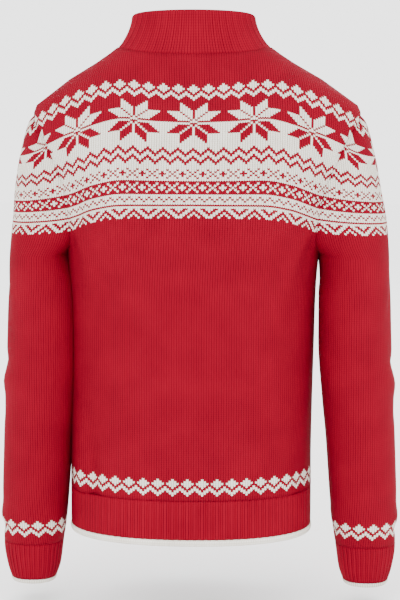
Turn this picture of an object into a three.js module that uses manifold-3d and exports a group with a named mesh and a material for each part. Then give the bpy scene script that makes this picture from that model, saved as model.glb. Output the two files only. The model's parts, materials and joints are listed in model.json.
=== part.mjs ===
// Norwegian cardigan, worn shape with nobody in it: two fronts and a back on a closed zip,
// set-in sleeves, doubled stand collar, ribbed hem and cuffs with cream tipping.
// Millimetres, +Z up, front towards -Y, wearer's left towards +X.
// Origin: the middle of the neck hole, level with the side neck points.
import * as THREE from "three";
import { mergeVertices } from "three/addons/utils/BufferGeometryUtils.js";
import Module from "manifold-3d";

// ---------- driving dimensions ----------
const WALL = 3;                  // knitted cloth of the panels and sleeves
const RIB_WALL = 3.6;            // ribbed hem and cuffs
const RIB_PROUD = 0.4;           // ribs stand out from the panel line
const COLLAR_WALL = 6;           // the collar is folded double
const COLLAR_PROUD = 1.6;
const SEAM_GAP = 0.4;
const HALF_SEAM = SEAM_GAP / 2;
const TIP_Z = -88;               // shoulder end of the armhole
const UNDERARM_Z = -275;
const PANEL_END_Z = -601;        // the panels end and the hem rib begins
const HEM_TIPPING_Z = -655.2;
const HEM_Z = -661;
const CUFF_TOP_Z = -680;
const CUFF_TIPPING_Z = -732.6;
const CUFF_Z = -738;
const ARM_AXIS_Z = -182;         // middle of the armhole
const NECK_HALF_WIDTH = 101;
const COLLAR_TOP_BACK_Z = 52;
const COLLAR_TOP_SIDE_Z = 47;
const COLLAR_TOP_FRONT_Z = -10;
const COLLAR_TOP_HALF_WIDTH = 86;
const COLLAR_TOP_BACK_Y = 50;
const COLLAR_TOP_FRONT_Y = -72;
const ZIP_HALF_GAP = 5;          // from the centre line to the edge of each front
const SLEEVE_CLEAR = 2.5;        // a hanging sleeve stays this far off the body

// Smooth curve through a few [position, value] knots that never overshoots them.
function curve(knots) {
  const at = knots.map((k) => k[0]);
  const value = knots.map((k) => k[1]);
  const last = at.length - 1;
  const slope = at.slice(1).map((p, i) => (value[i + 1] - value[i]) / (p - at[i]));
  const tangent = value.map((_, i) => {
    if (i === 0) return slope[0];
    if (i === last) return slope[last - 1];
    const product = slope[i - 1] * slope[i];
    return product <= 0 ? 0 : (2 * product) / (slope[i - 1] + slope[i]);
  });
  return (position) => {
    const p = Math.min(Math.max(position, at[0]), at[last]);
    let i = 0;
    while (i < last - 1 && p > at[i + 1]) i += 1;
    const span = at[i + 1] - at[i];
    const t = (p - at[i]) / span;
    const s = 1 - t;
    return s * s * (1 + 2 * t) * value[i] + t * t * (3 - 2 * t) * value[i + 1]
      + span * t * s * (s * tangent[i] - t * tangent[i + 1]);
  };
}

// ---------- the body as stacked sections, by height ----------
const halfWidth = curve([
  [-661, 164], [-601, 164], [-560, 163.5], [-476, 164.5], [-400, 166], [-340, 167], [-300, 168],
  [-275, 170], [-240, 176.5], [-196, 188], [-150, 205], [-120, 215], [-100, 219], [-88, 219],
  [-80, 216.5], [-70, 209], [-59, 194], [-48, 176], [-25, 137], [-14, 120], [0, 101],
]);
const backDepth = curve([
  [-661, 112], [-600, 109], [-500, 106], [-400, 109], [-240, 117], [-150, 115], [-101, 102],
  [-56, 76], [-20, 61], [0, 56],
]);
const frontDepth = curve([
  [-661, 110], [-600, 107], [-500, 105], [-400, 108], [-240, 115], [-150, 113], [-100, 103],
  [-75, 94], [-30, 74], [0, 66],
]);
const squareness = curve([[-661, 2.25], [-275, 2.3], [-100, 2.3], [0, 2]]);
const lean = curve([[-661, 4.2], [-350, 3], [-240, -1], [-150, -4], [-90, -4.5], [-30, -2], [0, -1], [60, 0]]);
// x of the armhole seam by height; it starts on the shoulder ridge and ends under the arm.
const armholeX = curve([
  [-275, 170], [-268, 167], [-255, 163.5], [-238, 164.5], [-220, 166.5], [-196, 170], [-175, 176],
  [-155, 185], [-129, 196], [-111, 206], [-96, 216.5], [-88, 219],
]);
const frontNeckZ = curve([[0, -75], [30, -71], [60, -55], [85, -30], [97, -10], [101, 0]]);
const backNeckZ = curve([[0, -7], [50, -6], [80, -3.5], [101, 0]]);

// ---------- the sleeves, by height ----------
const sleeveOuter = curve([
  [-738, 261], [-714, 268], [-686, 272], [-616, 273], [-560, 271], [-392, 263], [-294, 260],
  [-238, 256], [-182, 248.5], [-154, 243.6], [-126, 237], [-98, 228], [-88, 219],
]);
const sleeveInner = curve([
  [-738, 202], [-714, 194], [-686, 190], [-658, 185.5], [-616, 181], [-525, 174], [-476, 169],
  [-392, 163], [-330, 163], [-300, 167], [-275, 170],
]);
const sleeveDepth = curve([[-738, 32], [-700, 39], [-650, 45], [-520, 53], [-400, 60], [-275, 64]]);
const sleeveBackset = curve([[-738, 8], [-600, 12], [-450, 17], [-350, 15], [-275, 7], [-220, 2], [-150, 0]]);
const sleeveLean = curve([[-738, -7.7], [-238, -7.7], [-182, -5], [-88, -4.5]]);

const ARMHOLE_ROWS = [-88, -91, -98, -111, -129, -152, -175, -196, -220, -238, -255, -268, -275];
const SIDE_ROWS = [-300, -345, -400, -470, -540, -601];
const SLEEVE_ROWS = [-283, -300, -345, -400, -470, -540, -600, -645, -680];
const HALF_ARM_STEPS = 9;
const HALF_BODY_STEPS = 11;

function widthAt(y, z, depth) {
  const n = squareness(z);
  return halfWidth(z) * (1 - Math.min(1, Math.abs(y) / depth(z)) ** n) ** (1 / n);
}

// A point of the body's outer surface; side is +1 on the back and -1 on the front.
function bodyPoint(x, z, side) {
  const depth = side > 0 ? backDepth : frontDepth;
  const n = squareness(z);
  const reach = Math.min(1, Math.abs(x) / halfWidth(z));
  return new THREE.Vector3(x, side * depth(z) * (1 - reach ** n) ** (1 / n), z);
}

function bodyNormal(point) {
  const depth = point.y > 0 ? backDepth : frontDepth;
  const level = (x, y, z) => (Math.abs(x) / halfWidth(z)) ** squareness(z)
    + (Math.abs(y) / depth(z)) ** squareness(z);
  const h = 0.05;
  const { x, y, z } = point;
  return new THREE.Vector3(
    level(x + h, y, z) - level(x - h, y, z),
    Math.abs(y) < 0.5 ? 0 : level(x, y + h, z) - level(x, y - h, z),
    level(x, y, z + h) - level(x, y, z - h),
  ).normalize();
}

const armholeNormal = (point) => new THREE.Vector3(0, point.y, point.z - ARM_AXIS_Z).normalize();

function shifted(point, dx, dy = 0) {
  return new THREE.Vector3(point.x + dx, point.y + dy, point.z);
}

// ---------- shells ----------
// rows[j][i] = { outer, inner }: a closed wall between two grids. `closedFrom` is the first row
// whose ends meet, so that the piece is a sheet above that row and a tube below it.
function shell(rows, closedFrom = rows.length) {
  const corners = [];
  const tri = (a, b, c) => {
    const flat = [a, b, c].map((p) => p.toArray().map((v) => Math.round(v * 1e4) / 1e4));
    const same = (p, q) => p.every((v, i) => v === q[i]);
    if (same(flat[0], flat[1]) || same(flat[1], flat[2]) || same(flat[0], flat[2])) return;
    corners.push(...flat.flat());
  };
  const quad = (a, b, c, d) => {
    tri(a, b, c);
    tri(a, c, d);
  };
  const lastRow = rows.length - 1;
  const lastColumn = rows[0].length - 1;
  for (let j = 0; j < lastRow; j += 1) {
    for (let i = 0; i < lastColumn; i += 1) {
      const [a, b, c, d] = [rows[j][i], rows[j][i + 1], rows[j + 1][i + 1], rows[j + 1][i]];
      quad(a.outer, b.outer, c.outer, d.outer);
      quad(d.inner, c.inner, b.inner, a.inner);
    }
    if (j < closedFrom) {
      const [left, below] = [rows[j][0], rows[j + 1][0]];
      const [right, under] = [rows[j][lastColumn], rows[j + 1][lastColumn]];
      quad(left.outer, below.outer, below.inner, left.inner);
      quad(under.outer, right.outer, right.inner, under.inner);
    }
  }
  for (let i = 0; i < lastColumn; i += 1) {
    const [a, b] = [rows[0][i], rows[0][i + 1]];
    const [c, d] = [rows[lastRow][i], rows[lastRow][i + 1]];
    quad(b.outer, a.outer, a.inner, b.inner);
    quad(c.outer, d.outer, d.inner, c.inner);
  }
  return closedGeometry(corners);
}

// Merges shared corners and turns the faces outwards.
function closedGeometry(corners) {
  const soup = new THREE.BufferGeometry();
  soup.setAttribute("position", new THREE.Float32BufferAttribute(corners, 3));
  const merged = mergeVertices(soup, 1e-4);
  const index = Array.from(merged.index.array);
  const p = merged.attributes.position;
  const corner = (k) => new THREE.Vector3().fromBufferAttribute(p, index[k]);
  let volume = 0;
  for (let k = 0; k < index.length; k += 3) {
    volume += corner(k).dot(corner(k + 1).cross(corner(k + 2)));
  }
  if (volume < 0) {
    for (let k = 0; k < index.length; k += 3) [index[k], index[k + 1]] = [index[k + 1], index[k]];
    merged.setIndex(index);
  }
  merged.computeVertexNormals();
  return merged;
}

// ---------- the panels ----------
function topEdge(x, side) {
  const reach = Math.abs(x);
  if (reach <= NECK_HALF_WIDTH) return side > 0 ? backNeckZ(reach) : frontNeckZ(reach);
  let [low, high] = [TIP_Z, 0];
  for (let k = 0; k < 40; k += 1) {
    const middle = (low + high) / 2;
    if (halfWidth(middle) > reach) low = middle;
    else high = middle;
  }
  return (low + high) / 2;
}

const neckSeamNormal = (point) => bodyNormal(point)
  .add(new THREE.Vector3(point.x, point.y, 0).normalize()).normalize();

// fractions: where the columns lie between the centre line (0) and the side edge (1 or -1).
function panelRows(fractions, side, startX) {
  const tipX = armholeX(TIP_Z);
  const rowZ = [...ARMHOLE_ROWS, ...SIDE_ROWS];
  return rowZ.map((edgeZ, j) => {
    const edgeX = edgeZ >= UNDERARM_Z ? armholeX(edgeZ) : halfWidth(edgeZ);
    const along = (TIP_Z - edgeZ) / (TIP_Z - PANEL_END_Z);
    return fractions.map((f) => {
      const sign = Math.sign(f) || 1;
      const place = (reach) => sign * (startX + (reach - startX) * Math.abs(f));
      const top = topEdge(place(tipX), side);
      const z = top + (PANEL_END_Z - top) * along;
      const atEdge = Math.abs(f) > 0.999;
      const point = bodyPoint(place(edgeX), atEdge ? edgeZ : z, side);
      let normal = bodyNormal(point);
      if (atEdge && edgeZ >= UNDERARM_Z) normal = armholeNormal(point);
      else if (j === 0 && Math.abs(point.x) <= NECK_HALF_WIDTH + 0.5) normal = neckSeamNormal(point);
      if (Math.abs(point.y) < 0.5) normal.setY(0).normalize();
      const outer = shifted(point, lean(point.z), side * HALF_SEAM);
      return { outer, inner: outer.clone().addScaledVector(normal, -WALL) };
    });
  });
}

const neckFraction = NECK_HALF_WIDTH / armholeX(TIP_Z);
const halfFractions = [0, 0.09, 0.18, 0.27, 0.37, neckFraction, 0.55, 0.65, 0.75, 0.85, 0.93, 1];
const frontNeckFraction = (NECK_HALF_WIDTH - ZIP_HALF_GAP) / (armholeX(TIP_Z) - ZIP_HALF_GAP);
const frontFractions = halfFractions.map((f) => (f === neckFraction ? frontNeckFraction : f));

// ---------- the sleeves ----------
function sleeveBend(from, to, bend1, bend2, t) {
  const s = 1 - t;
  return new THREE.Vector2()
    .addScaledVector(from, s * s * s).addScaledVector(bend1, 3 * s * s * t)
    .addScaledVector(bend2, 3 * s * t * t).addScaledVector(to, t * t * t);
}

// Half of a sleeve's section at height z, from the outer edge (t 0) to the seam or inner edge
// (t 1), on the back (+1) or the front (-1), on the wearer's left or right (hand +1 or -1).
function sleevePoint(z, t, side, hand) {
  const cap = z >= UNDERARM_Z;
  const seam = bodyPoint(cap ? armholeX(z) : 0, z, side);
  const closing = cap ? Math.min(1, Math.max(0, (-220 - z) / 55)) : 1;
  const backset = sleeveBackset(z);
  const deep = side * sleeveDepth(Math.min(z, UNDERARM_Z));
  const outerX = hand * sleeveOuter(z) + sleeveLean(z);
  const innerX = cap ? hand * armholeX(z) + lean(z) : hand * sleeveInner(z) + sleeveLean(z)
    + (lean(UNDERARM_Z) - sleeveLean(UNDERARM_Z)) * Math.max(0, 1 - (UNDERARM_Z - z) / 40);
  const seamY = cap ? seam.y : backset * Math.min(1, (UNDERARM_Z - z) / 60);
  const rise = Math.min(1, (TIP_Z - z) / 60);
  const outward = (outerX - innerX) * 0.42 * (1 - closing);
  const bulge = side * 7 * rise * (1 - closing) + (4 / 3) * deep * closing * (1 - Math.abs(seamY / deep) * (cap ? 1 : 0));
  const belly = cap ? Math.max(Math.abs(seamY), 6) * 0.75 * (1 - closing) * side + (4 / 3) * deep * closing : (4 / 3) * deep;
  const section = sleeveBend(
    new THREE.Vector2(outerX, backset), new THREE.Vector2(innerX, seamY),
    new THREE.Vector2(outerX, backset + belly),
    new THREE.Vector2(innerX + outward, seamY + bulge), t,
  );
  if (!cap) {
    const depth = section.y > 0 ? backDepth : frontDepth;
    const clear = SEAM_GAP + (SLEEVE_CLEAR - SEAM_GAP) * Math.min(1, (UNDERARM_Z - z) / 25);
    const wall = Math.abs(section.y) < depth(z) ? widthAt(section.y, z, depth) : 0;
    const limit = hand * (wall + clear) + lean(z);
    section.x = hand > 0 ? Math.max(section.x, limit) : Math.min(section.x, limit);
  }
  return new THREE.Vector3(section.x, section.y, z);
}

// Columns run from the back seam over the outer edge to the front seam.
function sleeveRows(zs, hand, wall, proud) {
  const steps = [];
  for (let k = HALF_ARM_STEPS; k >= 0; k -= 1) steps.push([k / HALF_ARM_STEPS, 1]);
  for (let k = 1; k <= HALF_ARM_STEPS; k += 1) steps.push([k / HALF_ARM_STEPS, -1]);
  return zs.map((z) => {
    const line = steps.map(([t, side]) => sleevePoint(z, t, side, hand));
    return line.map((point, i) => {
      const atSeam = i === 0 || i === line.length - 1;
      let normal;
      if (z >= UNDERARM_Z && (atSeam || z > -89)) normal = armholeNormal(point);
      else {
        const before = atSeam ? line[line.length - 2] : line[i - 1];
        const after = atSeam ? line[1] : line[i + 1];
        const across = after.clone().sub(before);
        const down = sleeveDown(z, steps[i], hand);
        normal = across.cross(down).normalize();
        const outwards = new THREE.Vector3(point.x - hand * 215, point.y, 0);
        if (normal.dot(outwards) < 0) normal.negate();
      }
      if (z === TIP_Z) normal.set(0, 0, 1);
      const outer = shifted(point, hand * SEAM_GAP).addScaledVector(normal, proud);
      return { outer, inner: outer.clone().addScaledVector(normal, -wall) };
    });
  });
}

function sleeveDown(z, [t, side], hand) {
  const above = sleevePoint(Math.min(TIP_Z, z + 4), t, side, hand);
  return sleevePoint(z - 4, t, side, hand).sub(above);
}

// ---------- the collar ----------
function collarLoop(angle, hand) {
  const sine = Math.sin(angle);
  const cosine = Math.cos(angle);
  const front = cosine > 0;
  const across = (reach) => hand * (front ? ZIP_HALF_GAP + (reach - ZIP_HALF_GAP) * sine : reach * sine);
  const baseX = across(NECK_HALF_WIDTH);
  const base = bodyPoint(baseX, topEdge(baseX, front ? -1 : 1), front ? -1 : 1);
  const top = front
    ? new THREE.Vector3(across(COLLAR_TOP_HALF_WIDTH), COLLAR_TOP_FRONT_Y * cosine,
      COLLAR_TOP_SIDE_Z + (COLLAR_TOP_FRONT_Z - COLLAR_TOP_SIDE_Z) * cosine ** 1.4)
    : new THREE.Vector3(across(COLLAR_TOP_HALF_WIDTH), -COLLAR_TOP_BACK_Y * cosine,
      COLLAR_TOP_SIDE_Z - (COLLAR_TOP_BACK_Z - COLLAR_TOP_SIDE_Z) * cosine);
  return { base, top };
}

// A point of the collar's middle line: rise 0 at the neck seam and 1 at the folded edge.
function collarPoint(angle, hand, rise) {
  const { base, top } = collarLoop(angle, hand);
  const draw = 1 - (1 - rise) ** 1.8;
  const foot = shifted(base, lean(base.z));
  foot.z += SEAM_GAP + 0.5;
  return new THREE.Vector3(
    foot.x + (top.x - foot.x) * draw, foot.y + (top.y - foot.y) * draw, foot.z + (top.z - foot.z) * rise,
  );
}

function collarGeometry() {
  const rises = [0, 0.15, 0.4, 0.7, 0.93, 1];
  const quarter = [0, 0.12, 0.25, 0.38, 0.5, 0.62, 0.75, 0.88, 1].map((f) => (f * Math.PI) / 2);
  const half = [...quarter, ...quarter.slice(1).map((a) => a + Math.PI / 2)];
  const stops = [...half.map((a) => [a, 1]), ...half.slice(0, -1).reverse().map((a) => [a, -1])];
  const rows = rises.slice().reverse().map((rise) => stops.map(([angle, hand]) => {
    const point = collarPoint(angle, hand, rise);
    const normal = new THREE.Vector3(point.x / COLLAR_TOP_HALF_WIDTH ** 2, point.y / 60 ** 2, 0).normalize();
    if (Math.abs(point.x) < ZIP_HALF_GAP + 0.1) normal.set(0, Math.sign(point.y), 0);
    const rounding = rise === 1 ? 1.3 : 0;
    const outer = point.clone().addScaledVector(normal, COLLAR_PROUD - rounding);
    return { outer, inner: point.clone().addScaledVector(normal, COLLAR_PROUD - COLLAR_WALL + rounding) };
  }));
  return shell(rows);
}

// ---------- hem ribs and tippings ----------
function hemRows(zs, side, fromX, hand) {
  const steps = HALF_BODY_STEPS;
  const angles = [];
  if (hand === 0) for (let k = -steps; k <= steps; k += 1) angles.push((k / steps) * (Math.PI / 2));
  else for (let k = 0; k <= steps; k += 1) angles.push((k / steps) * (Math.PI / 2));
  return zs.map((z) => angles.map((angle) => {
    const reach = halfWidth(z);
    const x = hand === 0 ? reach * Math.sin(angle) : hand * (fromX + (reach - fromX) * Math.sin(angle));
    const point = bodyPoint(x, z, side);
    const normal = bodyNormal(point).setZ(0).normalize();
    if (Math.abs(angle) > 1.57) normal.set(Math.sign(x), 0, 0);
    const line = shifted(point, lean(z), side * HALF_SEAM);
    return {
      outer: line.clone().addScaledVector(normal, RIB_PROUD),
      inner: line.clone().addScaledVector(normal, RIB_PROUD - RIB_WALL),
    };
  }));
}

// ---------- the zip ----------
const TAPE_DEPTH = 5.4;          // outer face of the tapes, in from the fronts' outer face
const TAPE_THICKNESS = 1;
const TAPE_REACH = 16;           // half width of both tapes together
const CHAIN_DEPTH = 2.2;
const CHAIN_THICKNESS = 2.2;
const CHAIN_HALF_WIDTH = 3;
const CHAIN_END_Z = HEM_Z + 3;
const CHAIN_TOP_RISE = 0.84;     // how far up the collar the closed zip reaches

// The centre line of the front from the collar's edge to the hem: outer face, running down.
function frontLine(topRise) {
  const collar = [1, 0.7, 0.4, 0].map((f) => shifted(collarPoint(0, 1, topRise * f), -ZIP_HALF_GAP));
  const below = [-100, -130, -170, -220, -300, -400, -500, -600, CHAIN_END_Z]
    .map((z) => new THREE.Vector3(lean(z), -frontDepth(z), z));
  return [...collar, ...below];
}

function zipStrip(fromX, toX, depth, thickness, topRise) {
  const line = frontLine(topRise);
  const rows = line.map((p, j) => {
    const before = line[Math.max(0, j - 1)];
    const after = line[Math.min(line.length - 1, j + 1)];
    const run = after.clone().sub(before).setX(0).normalize();
    const inwards = new THREE.Vector3(0, -run.z, run.y);
    if (inwards.y < 0) inwards.negate();
    return [fromX, toX].map((x) => {
      const face = shifted(p, x).addScaledVector(inwards, depth);
      return { outer: face, inner: face.clone().addScaledVector(inwards, thickness) };
    });
  });
  return shell(rows);
}

const wasm = await Module();
wasm.setup();

function toSolid(geometry) {
  const bare = geometry.clone();
  bare.deleteAttribute("normal");
  bare.deleteAttribute("uv");
  const merged = mergeVertices(bare, 1e-4);
  const index = merged.index ? merged.index.array : Uint32Array.from(merged.attributes.position.array.keys());
  return new wasm.Manifold(new wasm.Mesh({
    numProp: 3,
    vertProperties: Float32Array.from(merged.attributes.position.array),
    triVerts: Uint32Array.from(index),
  }));
}

function fromSolid(solid) {
  const mesh = solid.getMesh();
  const geometry = new THREE.BufferGeometry();
  geometry.setAttribute("position", new THREE.BufferAttribute(mesh.vertProperties, 3));
  geometry.setIndex(new THREE.BufferAttribute(mesh.triVerts, 1));
  return geometry;
}

const SLIDER_HALF_WIDTH = 4.2;
const SLIDER_LENGTH = 13;
const SLIDER_PLATE = 1.8;
const BRIDGE_WIDTH = 2.2;
const BRIDGE_SPACE = 2.6;        // clear depth under the bridge
const BRIDGE_BAR = 1.1;
const BRIDGE_LENGTH = 8;
const TAB_HALF_WIDTH = 3.2;
const TAB_LENGTH = 27;
const TAB_THICKNESS = 1.4;
const TAB_BAR = 1.2;             // bar of the tab that turns under the bridge
const TAB_WINDOW = [3.4, 5];
const PLATE_DEPTH = 1.7;         // back face of the slider's plate, in from the collar's outer face

// Hard pieces are drawn lying in the plane of the collar's front: x across, y up it, z outwards.
function sliderGeometry() {
  const outline = new THREE.Shape();
  outline.moveTo(-SLIDER_HALF_WIDTH, SLIDER_LENGTH / 2 - 2);
  outline.quadraticCurveTo(-SLIDER_HALF_WIDTH, SLIDER_LENGTH / 2, 0, SLIDER_LENGTH / 2);
  outline.quadraticCurveTo(SLIDER_HALF_WIDTH, SLIDER_LENGTH / 2, SLIDER_HALF_WIDTH, SLIDER_LENGTH / 2 - 2);
  outline.lineTo(SLIDER_HALF_WIDTH - 1.2, -SLIDER_LENGTH / 2);
  outline.lineTo(-SLIDER_HALF_WIDTH + 1.2, -SLIDER_LENGTH / 2);
  const plate = new THREE.ExtrudeGeometry(outline, { depth: SLIDER_PLATE, bevelEnabled: false, curveSegments: 5 });
  const side = new THREE.Shape();
  const high = BRIDGE_SPACE + BRIDGE_BAR;
  side.moveTo(-BRIDGE_LENGTH / 2, -0.5);
  side.lineTo(-BRIDGE_LENGTH / 2, high - 1.2);
  side.quadraticCurveTo(-BRIDGE_LENGTH / 2, high, -BRIDGE_LENGTH / 2 + 1.6, high);
  side.lineTo(BRIDGE_LENGTH / 2 - 1.6, high);
  side.quadraticCurveTo(BRIDGE_LENGTH / 2, high, BRIDGE_LENGTH / 2, high - 1.2);
  side.lineTo(BRIDGE_LENGTH / 2, -0.5);
  const space = new THREE.Path();
  const end = BRIDGE_LENGTH / 2 - BRIDGE_BAR;
  space.moveTo(-end, 0);
  space.lineTo(end, 0);
  space.lineTo(end, BRIDGE_SPACE);
  space.lineTo(-end, BRIDGE_SPACE);
  side.holes.push(space);
  const bridge = new THREE.ExtrudeGeometry(side, { depth: BRIDGE_WIDTH, bevelEnabled: false, curveSegments: 3 });
  bridge.translate(0, 0, -BRIDGE_WIDTH / 2);
  bridge.applyMatrix4(new THREE.Matrix4().makeBasis(
    new THREE.Vector3(0, 1, 0), new THREE.Vector3(0, 0, 1), new THREE.Vector3(1, 0, 0),
  ));
  bridge.translate(0, 0, SLIDER_PLATE);
  return fromSolid(toSolid(plate).add(toSolid(bridge)));
}

function pullTabGeometry() {
  const outline = new THREE.Shape();
  const top = TAB_BAR / 2;
  const bottom = top - TAB_LENGTH;
  const w = TAB_HALF_WIDTH;
  outline.moveTo(-w + 0.8, top);
  outline.lineTo(w - 0.8, top);
  outline.quadraticCurveTo(w, top, w, top - 0.8);
  outline.lineTo(w - 0.9, top - 9);
  outline.lineTo(w, top - 14);
  outline.lineTo(w, bottom + 2.4);
  outline.quadraticCurveTo(w, bottom, 0, bottom);
  outline.quadraticCurveTo(-w, bottom, -w, bottom + 2.4);
  outline.lineTo(-w, top - 14);
  outline.lineTo(-w + 0.9, top - 9);
  outline.lineTo(-w, top - 0.8);
  outline.quadraticCurveTo(-w, top, -w + 0.8, top);
  const [wide, tall] = TAB_WINDOW;
  const windowTop = top - TAB_BAR;
  const hole = new THREE.Path();
  hole.moveTo(-wide / 2, windowTop);
  hole.lineTo(-wide / 2, windowTop - tall);
  hole.lineTo(wide / 2, windowTop - tall);
  hole.lineTo(wide / 2, windowTop);
  outline.holes.push(hole);
  const tab = new THREE.ExtrudeGeometry(outline, { depth: TAB_THICKNESS, bevelEnabled: false, curveSegments: 5 });
  tab.translate(0, 0, -TAB_THICKNESS / 2);
  return fromSolid(toSolid(tab));
}

// The slider sits at the top of the chain, square to the collar's front edge.
function sliderGroup() {
  const upper = collarPoint(0, 1, CHAIN_TOP_RISE);
  const lower = collarPoint(0, 1, CHAIN_TOP_RISE - 0.25);
  const up = upper.clone().sub(lower).setX(0).normalize();
  const across = new THREE.Vector3(1, 0, 0);
  const outwards = across.clone().cross(up).normalize();
  const group = new THREE.Group();
  const centre = shifted(upper, -ZIP_HALF_GAP)
    .addScaledVector(up, -SLIDER_LENGTH / 2 + 1).addScaledVector(outwards, -PLATE_DEPTH);
  group.applyMatrix4(new THREE.Matrix4().makeBasis(across, up, outwards).setPosition(centre));
  return group;
}

// ---------- colours ----------
const knit = (colour) => new THREE.MeshStandardMaterial({ color: colour, roughness: 0.9, metalness: 0 });
const RED = knit(0xb00d22);
const CREAM = knit(0xe4e1d6);
const TAPE = new THREE.MeshStandardMaterial({ color: 0x9c0c1e, roughness: 0.8, metalness: 0 });
const METAL = new THREE.MeshStandardMaterial({ color: 0xb9bbbe, roughness: 0.3, metalness: 1 });

// ---------- assembly ----------
const cardigan = new THREE.Group();

function add(name, geometry, material, parent = cardigan) {
  const mesh = new THREE.Mesh(geometry, material);
  mesh.name = name;
  parent.add(mesh);
  return mesh;
}

const bothWays = [...halfFractions.slice(1).reverse().map((f) => -f), ...halfFractions];
add("back", shell(panelRows(bothWays, 1, 0)), RED);
for (const [name, hand] of [["left", 1], ["right", -1]]) {
  const columns = frontFractions.map((f) => (f === 0 ? hand * 1e-9 : hand * f));
  add(`front_${name}`, shell(panelRows(columns, -1, ZIP_HALF_GAP)), RED);
  const rows = [...ARMHOLE_ROWS, ...SLEEVE_ROWS];
  add(`sleeve_${name}`, shell(sleeveRows(rows, hand, WALL, 0), ARMHOLE_ROWS.length - 1), RED);
  const cuff = [CUFF_TOP_Z - SEAM_GAP, -700, -718, CUFF_TIPPING_Z + SEAM_GAP];
  add(`cuff_${name}`, shell(sleeveRows(cuff, hand, RIB_WALL, RIB_PROUD), 0), RED);
  add(`cuff_tipping_${name}`, shell(sleeveRows([CUFF_TIPPING_Z, CUFF_Z], hand, RIB_WALL, RIB_PROUD), 0), CREAM);
}
const HEM_RIB = [PANEL_END_Z - SEAM_GAP, -630, HEM_TIPPING_Z + SEAM_GAP];
const HEM_TIPPING = [HEM_TIPPING_Z, HEM_Z];
add("hem_rib_back", shell(hemRows(HEM_RIB, 1, 0, 0)), RED);
add("hem_tipping_back", shell(hemRows(HEM_TIPPING, 1, 0, 0)), CREAM);
for (const [name, hand] of [["left", 1], ["right", -1]]) {
  add(`hem_rib_front_${name}`, shell(hemRows(HEM_RIB, -1, ZIP_HALF_GAP, hand)), RED);
  add(`hem_tipping_front_${name}`, shell(hemRows(HEM_TIPPING, -1, ZIP_HALF_GAP, hand)), CREAM);
  const edge = hand * HALF_SEAM;
  add(`zip_tape_${name}`, zipStrip(edge, hand * TAPE_REACH, TAPE_DEPTH, TAPE_THICKNESS, 0.96), TAPE);
}
add("collar", collarGeometry(), RED);
add("zip_chain", zipStrip(-CHAIN_HALF_WIDTH, CHAIN_HALF_WIDTH, CHAIN_DEPTH, CHAIN_THICKNESS, CHAIN_TOP_RISE), METAL);

const hardware = sliderGroup();
cardigan.add(hardware);
add("zip_slider", sliderGeometry(), METAL, hardware);
const tab = add("pull_tab", pullTabGeometry(), METAL, hardware);
tab.position.set(0, 0, SLIDER_PLATE + BRIDGE_SPACE / 2);

export default cardigan;
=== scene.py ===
"""Norwegian cardigan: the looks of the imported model.

Every knitted piece is a thin shell laid out stitch by stitch on its solid's form. Lengths are in
millimetres until a mesh is written, and metres after that.
"""
import json
import logging
import math
from dataclasses import dataclass, field
from enum import Enum
from typing import Callable, Sequence

import bpy
import numpy as np
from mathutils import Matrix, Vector

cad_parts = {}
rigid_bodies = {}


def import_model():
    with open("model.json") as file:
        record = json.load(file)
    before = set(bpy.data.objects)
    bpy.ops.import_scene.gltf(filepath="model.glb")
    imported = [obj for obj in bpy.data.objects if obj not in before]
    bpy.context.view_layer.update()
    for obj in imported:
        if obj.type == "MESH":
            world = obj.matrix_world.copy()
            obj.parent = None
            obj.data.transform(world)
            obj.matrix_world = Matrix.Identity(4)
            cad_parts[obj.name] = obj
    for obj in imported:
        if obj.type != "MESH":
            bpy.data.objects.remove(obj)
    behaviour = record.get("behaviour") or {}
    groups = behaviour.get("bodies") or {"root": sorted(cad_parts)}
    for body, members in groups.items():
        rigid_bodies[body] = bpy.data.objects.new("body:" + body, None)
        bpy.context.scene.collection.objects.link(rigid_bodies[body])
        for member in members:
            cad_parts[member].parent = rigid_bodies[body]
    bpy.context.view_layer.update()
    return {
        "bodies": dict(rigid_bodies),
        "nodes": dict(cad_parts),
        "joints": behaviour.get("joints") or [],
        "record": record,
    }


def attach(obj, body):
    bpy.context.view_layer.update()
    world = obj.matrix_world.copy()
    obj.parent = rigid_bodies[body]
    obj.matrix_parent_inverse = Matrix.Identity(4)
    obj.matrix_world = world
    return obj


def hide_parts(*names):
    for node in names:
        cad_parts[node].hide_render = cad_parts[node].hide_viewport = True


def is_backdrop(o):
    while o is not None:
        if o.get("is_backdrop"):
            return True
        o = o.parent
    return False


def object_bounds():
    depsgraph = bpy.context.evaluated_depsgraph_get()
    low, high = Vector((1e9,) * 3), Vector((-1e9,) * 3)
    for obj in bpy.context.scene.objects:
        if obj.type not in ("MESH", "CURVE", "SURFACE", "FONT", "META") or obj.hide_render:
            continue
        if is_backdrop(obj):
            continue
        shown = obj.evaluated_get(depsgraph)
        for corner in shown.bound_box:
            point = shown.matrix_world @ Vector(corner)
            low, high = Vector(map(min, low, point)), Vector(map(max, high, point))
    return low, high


LOG = logging.getLogger("cardigan")
MM = 0.001

# ---------- knitting gauge and sizes shared with the solids, in millimetres ----------
STITCH = 3.3
ROW = 2.54
WALL = 3.0
TIP_Z = -88.0
UNDERARM_Z = -275.0
PANEL_END_Z = -601.0
HEM_TIPPING_Z = -655.2
HEM_Z = -661.0
CUFF_TOP_Z = -680.0
CUFF_TIPPING_Z = -732.6
CUFF_Z = -738.0
SEAM_GAP = 0.4
SEAM_LAP = 0.25      # how far the back and the fronts reach past their seam, so that no light shows
NECK_HALF_WIDTH = 101.0
ZIP_HALF_GAP = 5.0
YOKE_END_Z = -217.5
YOKE_ROWS = 71
SLEEVE_CLEAR = 2.5


class Hand(Enum):
    """The wearer's side of a piece; the value is the sign of x."""

    LEFT = 1
    RIGHT = -1


class Face(Enum):
    """The body side of a panel; the value is the sign of y."""

    BACK = 1
    FRONT = -1


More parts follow.
